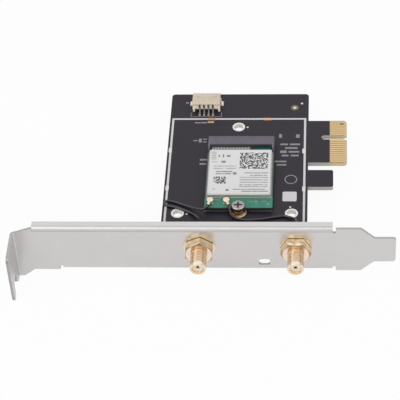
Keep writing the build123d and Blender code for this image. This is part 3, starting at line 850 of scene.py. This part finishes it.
def shell_of(node, name):
    """A copy of a CAD node, its loose triangles merged."""
    shell = copy_of(nodes[node], name)
    bpy.ops.mesh.remove_doubles(threshold=0.001 * MM)
    bpy.ops.object.mode_set(mode="OBJECT")
    return shell


def join(name, pieces):
    """Joins pieces into the first of them."""
    bpy.ops.object.select_all(action="DESELECT")
    for piece in pieces:
        piece.select_set(True)
    bpy.context.view_layer.objects.active = pieces[0]
    bpy.ops.object.join()
    pieces[0].name = pieces[0].data.name = name
    return pieces[0]


def rectangles(name, fields, height):
    """Starts a piece of flat rectangles, each given as left, right, near and far."""
    piece = None
    for left, right, near, far in fields:
        place = ((left + right) / 2, (near + far) / 2, height)
        if piece is None:
            piece = begin(name, bpy.ops.mesh.primitive_plane_add, place, size=1.0)
        else:
            bpy.ops.mesh.primitive_plane_add(size=1.0, location=Vector(place) * MM)
        resize((right - left) * MM, (far - near) * MM, 1.0, place)
    bpy.ops.mesh.select_all(action="SELECT")
    return piece


def cut_boxes(piece, fields, base, height):
    """Cuts boxes out of a piece, each given by its field, all from one base and of one height."""
    cutter = rectangles("cutter", fields, base)
    extrude(0, 0, height)
    subtract(piece, cutter)


def print_fields(name, fields, height, material, corner):
    """A layer of ink in plain round-cornered rectangles."""
    piece = rectangles(name, fields, height)
    bpy.ops.mesh.bevel(offset=corner * MM, segments=4, affect="VERTICES")
    thicken(piece, INK_H, 1.0)
    return close(piece, material)


def mounds(name, fields, rise, slope, material):
    """Low mounds of solder on rectangular pads of the board: a base, then a slope up to a flat crown."""
    piece = rectangles(name, fields, BOARD_TOP)
    extrude(0, 0, PAD_H)
    inset(slope, use_individual=True)
    shift(0, 0, rise)
    face_outwards(piece)
    return close(piece, material, 60.0)


def ring(name, place, outer, inner, thick):
    """A flat ring, still to be closed."""
    piece = disc(name, place, outer, 48)
    inset(outer - inner)
    bpy.ops.mesh.delete(type="FACE")
    thicken(piece, thick, 1.0)
    soften(piece, thick / 3, 30)
    return piece


def cross_screw(name, node, x, y, head_r, head_h, head_round, shank_r, arm, width, depth):
    """A pan-head screw as tall as its node, with a tapered tip and a cross recess."""
    low, high = corners(node)
    top = high.z
    seat = top - head_h
    tip = shank_r / 5
    screw = disc(name, (x, y, seat), head_r, 64)
    extrude(0, 0, head_h)
    pick(screw, lambda middle: middle.z > top - SINK, "EDGE")
    bpy.ops.mesh.bevel(offset=head_round * MM, segments=6)
    pick(screw, lambda middle: middle.z < seat + SINK)
    inset(head_r - shank_r)
    extrude(0, 0, low.z + tip - seat)
    inset(tip)
    shift(0, 0, -tip)
    face_outwards(screw)

    cutter = begin("recess_cutter", bpy.ops.mesh.primitive_plane_add, (x, y, top + SINK), size=width * MM)
    for step_x, step_y in ((1, 0), (-1, 0), (0, 1), (0, -1)):
        def outer_edge(middle):
            out = (middle.x - x) * step_x + (middle.y - y) * step_y
            aside = (middle.x - x) * step_y + (middle.y - y) * step_x
            return out > 0.45 * width and abs(aside) < 0.1 * width
        pick(cutter, outer_edge, "EDGE")
        extrude(step_x * (arm - width / 2), step_y * (arm - width / 2), 0)
    bpy.ops.mesh.select_mode(type="FACE")
    bpy.ops.mesh.select_all(action="SELECT")
    extrude(0, 0, -depth - SINK)
    resize(RECESS_TAPER, RECESS_TAPER, 1.0, (x, y, 0))
    subtract(screw, cutter)
    soften(screw, 0.05, 50)
    return screw


# Printed frame round the module, open towards the bracket
ink_frame = rectangles("printed_frame", [INK_FRAME], BOARD_TOP)
inset(INK_LINE)
bpy.ops.mesh.delete(type="FACE")
pick(ink_frame, lambda middle: middle.y < INK_NEAR + INK_LINE)
bpy.ops.mesh.delete(type="FACE")
thicken(ink_frame, INK_H, 1.0)
close(ink_frame, ink_white)

# Other print on the board: dots, an empty field, plain bars and an empty ring
print_fields(
    "printed_dots",
    [
        (-18.75, -18.05, -33.15, -32.45),
        (-52.15, -51.45, -36.35, -35.65),
        (-33.75, -33.05, 4.65, 5.35),
        (-15.6, -14.8, 16.5, 17.3),
    ],
    BOARD_TOP, ink_white, 0.28,
)
print_fields("printed_field", [(-21.0, -16.4, -30.2, -25.8)], BOARD_TOP, ink_white, 0.5)
print_fields(
    "printed_bars",
    [
        (-55.0, -53.9, 17.0, 17.6),
        (-51.4, -49.4, 7.0, 7.6),
        (-49.2, -47.3, 7.0, 7.7),
        (-51.4, -50.0, -1.8, -1.3),
        (-49.6, -48.6, -2.4, -0.6),
        (-48.2, -46.9, -2.4, -1.9),
        (-48.2, -46.9, -1.1, -0.6),
        (-48.8, -46.0, -11.2, -10.4),
        (-48.8, -46.6, -13.2, -12.4),
        (-24.0, -20.0, -12.0, -11.3),
        (-23.2, -20.0, -13.6, -12.9),
        (-22.7, -21.7, -0.2, 1.6),
        (-17.0, -15.8, -0.2, 1.4),
        (-22.2, -19.6, -3.8, -3.0),
        (-19.0, -15.6, -3.8, -3.0),
        (-20.6, -16.4, -5.6, -4.8),
        (-22.2, -20.0, -7.6, -6.4),
        (-19.4, -15.8, -7.4, -6.6),
        (-18.6, -16.0, -9.2, -8.4),
        (-21.6, -19.4, -9.2, -8.4),
    ],
    BOARD_TOP, ink_faint, 0.12,
)
print_fields(
    "printed_module_edge", [(-46.3, -38.4, -34.75, -34.45), (-31.8, -24.2, -34.75, -34.45)],
    BOARD_TOP, ink_faint, 0.08,
)
print_fields(
    "printed_header_edge",
    [(-53.0, -42.4, 10.2, 10.4), (-53.0, -52.8, 10.4, 12.4), (-42.6, -42.4, 10.4, 12.4)],
    BOARD_TOP, ink_faint, 0.04,
)
mark_ring = ring("printed_ring", (-18.4, -20.1, BOARD_TOP), 2.1, 1.75, INK_H)
close(mark_ring, ink_faint)

# Pads on the board: three of bare copper at the far line, four small ones on the side lines, a locating spot
copper_pads = rectangles(
    "copper_pads",
    [(-47.07, -44.46, 8.6, 9.7), (-47.07, -44.9, 7.2, 7.9), (-28.04, -25.44, 8.5, 9.6)],
    BOARD_TOP,
)
bpy.ops.mesh.bevel(offset=PAD_CORNER * MM, segments=3, affect="VERTICES")
thicken(copper_pads, PAD_H, 1.0)
close(copper_pads, bare_copper)
mounds(
    "side_pads",
    [
        (-59.45, -58.4, -7.2, -5.0),
        (-59.4, -58.35, -25.2, -23.0),
        (-14.8, -13.75, -7.7, -5.5),
        (-14.65, -13.6, -25.6, -23.4),
    ],
    0.06, 0.15, solder_tin,
)
spot = disc("locating_spot", (SPOT_X, SPOT_Y, BOARD_TOP), SPOT_R, 32)
extrude(0, 0, PAD_H)
inset(SPOT_SLOPE)
shift(0, 0, INK_H)
face_outwards(spot)
close(spot, spot_gold)
spot_ring = ring("locating_ring", (SPOT_X, SPOT_Y, BOARD_TOP), SPOT_RING_R, SPOT_RING_HOLE, INK_H)
close(spot_ring, spot_laminate)

# Plated rims of the three holes, through the board
rims = []
for count, (x, y) in enumerate(PLATED_HOLES):
    rim = disc("plated_rim_%d" % count, (x, y, BOARD_TOP + RIM_H), RIM_R, 48)
    inset(RIM_R - HOLE_R + RIM_H)
    extrude(0, 0, BOARD_LOW.z - BOARD_TOP - 2 * RIM_H)
    bpy.ops.mesh.extrude_region_move()
    grow = RIM_R / (HOLE_R - RIM_H)
    resize(grow, grow, 1.0, (x, y, 0))
    bpy.ops.mesh.delete(type="ONLY_FACE")
    bpy.ops.mesh.select_all(action="SELECT")
    bpy.ops.mesh.normals_make_consistent(inside=False)
    thicken(rim, 0.8 * RIM_H, 0.0)
    rims.append(rim)
close(join("plated_rims", rims), rim_tin)

# Wire header, with an open gap under the ribs of its back wall and slots up to its roof
header = shell_of("header_housing", "header_shell")
gap_near, gap_far = HEADER_LOW.y - GAP_AHEAD, HEADER_LOW.y + GAP_D
gap = (HEADER_PINS[0] - GAP_SIDE, HEADER_PINS[-1] + GAP_SIDE, gap_near, gap_far)
cut_boxes(header, [gap], GAP_BASE, GAP_H)
slot_near, slot_far = HEADER_LOW.y - SLOT_AHEAD, HEADER_LOW.y + SLOT_D
slots = [(x - SLOT_HALF, x + SLOT_HALF, slot_near, slot_far) for x in HEADER_PINS]
cut_boxes(header, slots, SLOT_BASE, HEADER_HIGH.z - SLOT_ROOF - SLOT_BASE)
soften(header, 0.08, 50)
close(header, finishes["header_cream"])
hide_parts("header_housing")

# Solder at the feet of the wire header, its side tabs and the module socket
foot_near, foot_far = HEADER_LOW.y - FOOT_NEAR, HEADER_LOW.y - FOOT_FAR
feet = [(x - FOOT_HALF, x + FOOT_HALF, foot_near, foot_far) for x in HEADER_PINS]
mounds("header_foot_solder", feet, 0.1, 0.14, foot_tin)
mounds(
    "header_tab_solder", [(-53.4, -52.3, 15.8, 17.9), (-43.1, -42.0, 15.8, 17.9)],
    0.14, 0.3, solder_tin,
)
tail_near, tail_far = SOCKET_HIGH.y + TAIL_NEAR, SOCKET_HIGH.y + TAIL_FAR
tail_row = [SOCKET_MID + (count - (TAIL_COUNT - 1) / 2) * CONTACT_PITCH for count in range(TAIL_COUNT)]
tails = [
    (x - TAIL_HALF, x + TAIL_HALF, tail_near, tail_far)
    for x in tail_row if abs(x - SOCKET_MID - KEY_FROM_MID) > KEY_HALF
]
mounds("socket_tail_solder", tails, 0.05, 0.05, solder_tin)

# Module socket, with the front of its roof open between its two ends so that the contacts show
socket = shell_of("m2_socket_housing", "socket_shell")
open_near, open_far = SOCKET_LOW.y - SOCKET_AHEAD, SOCKET_LOW.y + SOCKET_OPEN
opening = (SOCKET_LOW.x + SOCKET_END, SOCKET_HIGH.x - SOCKET_END, open_near, open_far)
cut_boxes(socket, [opening], MODULE_TOP + SOCKET_CLEAR, SOCKET_OPEN_H)
soften(socket, 0.1, 50)
close(socket, finishes["socket_plastic"])
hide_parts("m2_socket_housing")

# Seam of solder round the foot of the can, and the module's own pads and marks
seam_sides = (CAN_LOW.x - SEAM_OUT, CAN_HIGH.x + SEAM_OUT)
seam_ends = (CAN_LOW.y - SEAM_NEAR, CAN_HIGH.y + SEAM_OUT)
seam = rectangles("can_solder_seam", [seam_sides + seam_ends], MODULE_TOP)
bpy.ops.mesh.bevel(offset=SEAM_R * MM, segments=4, affect="VERTICES")
bpy.ops.mesh.select_mode(type="FACE")
bpy.ops.mesh.select_all(action="SELECT")
inset(SEAM_W)
bpy.ops.mesh.delete(type="FACE")
thicken(seam, SEAM_H, 1.0)
soften(seam, 0.05, 30)
close(seam, foot_tin)
pad_left = MODULE_LOW.x + EDGE_PAD_FIRST
first_pad = (pad_left, pad_left + EDGE_PAD_W, SOCKET_LOW.y - EDGE_PAD_OUT, SOCKET_LOW.y + EDGE_PAD_IN)
edge_pads = rectangles("module_edge_pads", [first_pad], MODULE_TOP)
extrude(0, 0, PAD_H)
face_outwards(edge_pads)
modify(
    edge_pads, "ARRAY", count=EDGE_PADS, use_relative_offset=False, use_constant_offset=True,
    constant_offset_displace=(CONTACT_PITCH * MM, 0, 0),
)
close(edge_pads, pad_tin)
print_fields(
    "module_marks",
    [
        (-31.6, -30.2, -32.2, -31.8),
        (-29.8, -29.0, -32.6, -31.6),
        (-27.6, -26.2, -32.2, -31.8),
        (-26.0, -25.2, -33.6, -32.6),
        (-43.0, -41.2, -31.5, -31.1),
    ],
    MODULE_TOP, ink_faint, 0.08,
)

# Screws with their cross recesses, and the pad under the module's standoff
module_screw = cross_screw("module_screw", "m2_screw", *STANDOFF, **MODULE_SCREW)
close(module_screw, module_nickel)
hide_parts("m2_screw")
ear_screws = [
    cross_screw("ear_screw_%d" % count, "bracket_screws", x, y, **EAR_SCREW)
    for count, (x, y) in enumerate(EAR_SCREWS)
]
ear_pair = close(join("ear_screws", ear_screws), ear_nickel)
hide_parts("bracket_screws")
standoff_pad = ring("standoff_pad", (*STANDOFF, BOARD_TOP), STANDOFF_PAD_R, STANDOFF_PAD_HOLE, PAD_H)
close(standoff_pad, solder_tin)

# Threads of the two antenna jacks: one turn's section, narrowed at its crest and wound along the jack
thread_mid = (THREAD_CREST + THREAD_ROOT) / 2
thread = begin("antenna_thread_left", bpy.ops.mesh.primitive_plane_add, (0, 0, 0), size=1.0)
resize((THREAD_CREST - THREAD_ROOT) * MM, THREAD_FOOT * THREAD_PITCH * MM, 1.0, (0, 0, 0))
shift(thread_mid, 0, 0)
pick(thread, lambda middle: middle.x > thread_mid, "VERT")
resize(1.0, THREAD_LAND, 1.0, (0, 0, 0))
modify(
    thread, "SCREW", axis="Y", angle=2 * math.pi, steps=THREAD_STEPS, render_steps=THREAD_STEPS,
    iterations=THREAD_TURNS, screw_offset=THREAD_PITCH * MM, use_merge_vertices=False,
    use_normal_calculate=True,
)
bpy.ops.object.mode_set(mode="EDIT")
bpy.ops.mesh.select_all(action="SELECT")
bpy.ops.mesh.fill_holes(sides=8)
bpy.ops.mesh.normals_make_consistent(inside=False)
shift(JACKS["left"], JACK_TIP + THREAD_FROM_TIP, JACK_Z)
close(thread, groove_gold)
twin = copy_of(thread, "antenna_thread_right")
shift(JACKS["right"] - JACKS["left"], 0, 0)
close(twin, groove_gold)

# Plain collars at the tips of the two jacks, open at the mouth
collars = []
for count, x in enumerate(JACKS.values()):
    axis = Vector((x, 0, JACK_Z))
    tip_r = COLLAR_R - COLLAR_SLOPE
    mouth_r = tip_r - COLLAR_WALL
    collar = disc(
        "antenna_collar_%d" % count, (x, COLLAR_TIP, JACK_Z), tip_r, 64, rotation=(math.pi / 2, 0, 0),
    )
    inset(COLLAR_WALL)
    bpy.ops.mesh.delete(type="FACE")
    pick(collar, lambda middle: math.hypot(middle.x - x, middle.z - JACK_Z) < mouth_r + SINK, "EDGE")
    extrude(0, COLLAR_PROUD + SINK, 0)
    pick(collar, lambda middle: math.hypot(middle.x - x, middle.z - JACK_Z) > tip_r - SINK, "EDGE")
    extrude(0, COLLAR_SLOPE, 0)
    resize(COLLAR_R / tip_r, 1.0, COLLAR_R / tip_r, axis)
    extrude(0, COLLAR_L - 2 * COLLAR_SLOPE, 0)
    extrude(0, COLLAR_SLOPE, 0)
    resize(COLLAR_FOOT, 1.0, COLLAR_FOOT, axis)
    face_outwards(collar)
    thicken(collar, COLLAR_SKIN, -1.0)
    collars.append(collar)
close(join("antenna_collars", collars), collar_gold)

# Floor, white to the eye and dimmer in reflections, with the part's soft shadow
bpy.ops.object.select_all(action="DESELECT")
bpy.ops.mesh.primitive_plane_add(size=FLOOR_SIZE, location=(0, 0, FLOOR_Z * MM))
floor = bpy.context.object
floor.name = "floor"
paper = Finish("floor_paper")
plain = paper.node("BsdfDiffuse", {}, {"Color": (0.9, 0.9, 0.9, 1.0)})
glow = paper.node("Emission", {}, {"Color": (1.0, 1.0, 1.0, 1.0), "Strength": 1.0})
share = paper.backdrop(FLOOR_SEEN, FLOOR_MIRRORED)
both = paper.node("MixShader", {}, {0: share, 1: plain.outputs[0], 2: glow.outputs[0]})
paper.tree.links.new(both.outputs[0], paper.tree.nodes["Material Output"].inputs[0])
floor.data.materials.append(paper.material)


def soft_box(name, place, size, power, mirrored=True):
    """A lamp at a place in metres, aimed at the part's middle; mirrored says if reflections show it."""
    light = bpy.data.lights.new(name, "AREA")
    light.shape = "RECTANGLE"
    light.size, light.size_y = size
    light.energy = power
    lamp = bpy.data.objects.new(name, light)
    lamp.location = place
    lamp.visible_glossy = mirrored
    aim = (cad_low + cad_high) / 2
    lamp.rotation_euler = (aim - Vector(place)).to_track_quat("-Z", "Y").to_euler()
    bpy.context.scene.collection.objects.link(lamp)


soft_box("key_light", (-0.55, -0.3, 0.75), (0.8, 0.8), 2.0)
soft_box("top_light", (0.6, -0.1, 0.75), (0.8, 0.8), 1.1)
soft_box("front_light", (0.0, -1.0, 0.5), (1.4, 0.8), 5.0, mirrored=False)

# Sky, white to the eye, with a dim band low in reflections
world = bpy.data.worlds.new("studio")
bpy.context.scene.world = world
world.use_nodes = True
studio = Graph(world.node_tree)
sky = world.node_tree.nodes["Background"]
sky.inputs["Color"].default_value = (1.0, 1.0, 1.0, 1.0)
toward = studio.node("TexCoord", {}, {}).outputs["Generated"]
height = Term(studio, studio.node("SeparateXYZ", {}, {0: toward}).outputs[2])
band = (1.0 - abs(height - BAND_HEIGHT) / BAND_REACH) | 0.0
studio.feed(sky.inputs["Strength"], studio.backdrop(1.0, SKY_MIRRORED - band * BAND_DEPTH, SKY))

# Camera
ahead = Vector((
    math.sin(YAW) * math.cos(ELEVATION),
    math.cos(YAW) * math.cos(ELEVATION),
    -math.sin(ELEVATION),
))
level = Vector((math.cos(YAW), -math.sin(YAW), 0.0))
steep = level.cross(ahead)
right = math.cos(ROLL) * level - math.sin(ROLL) * steep
up = math.sin(ROLL) * level + math.cos(ROLL) * steep
camera_data = bpy.data.cameras.new("camera")
camera_data.sensor_width = SENSOR
camera_data.lens = FOCAL_PIXELS / IMAGE_PIXELS * SENSOR
camera_data.clip_start = 0.01
camera_data.clip_end = 20.0
camera = bpy.data.objects.new("camera", camera_data)
turn = Matrix((right, up, -ahead)).transposed().to_4x4()
camera.matrix_world = Matrix.Translation(AIM - DISTANCE * ahead) @ turn
bpy.context.scene.collection.objects.link(camera)
bpy.context.scene.camera = camera
bpy.context.scene.view_settings.view_transform = "Standard"
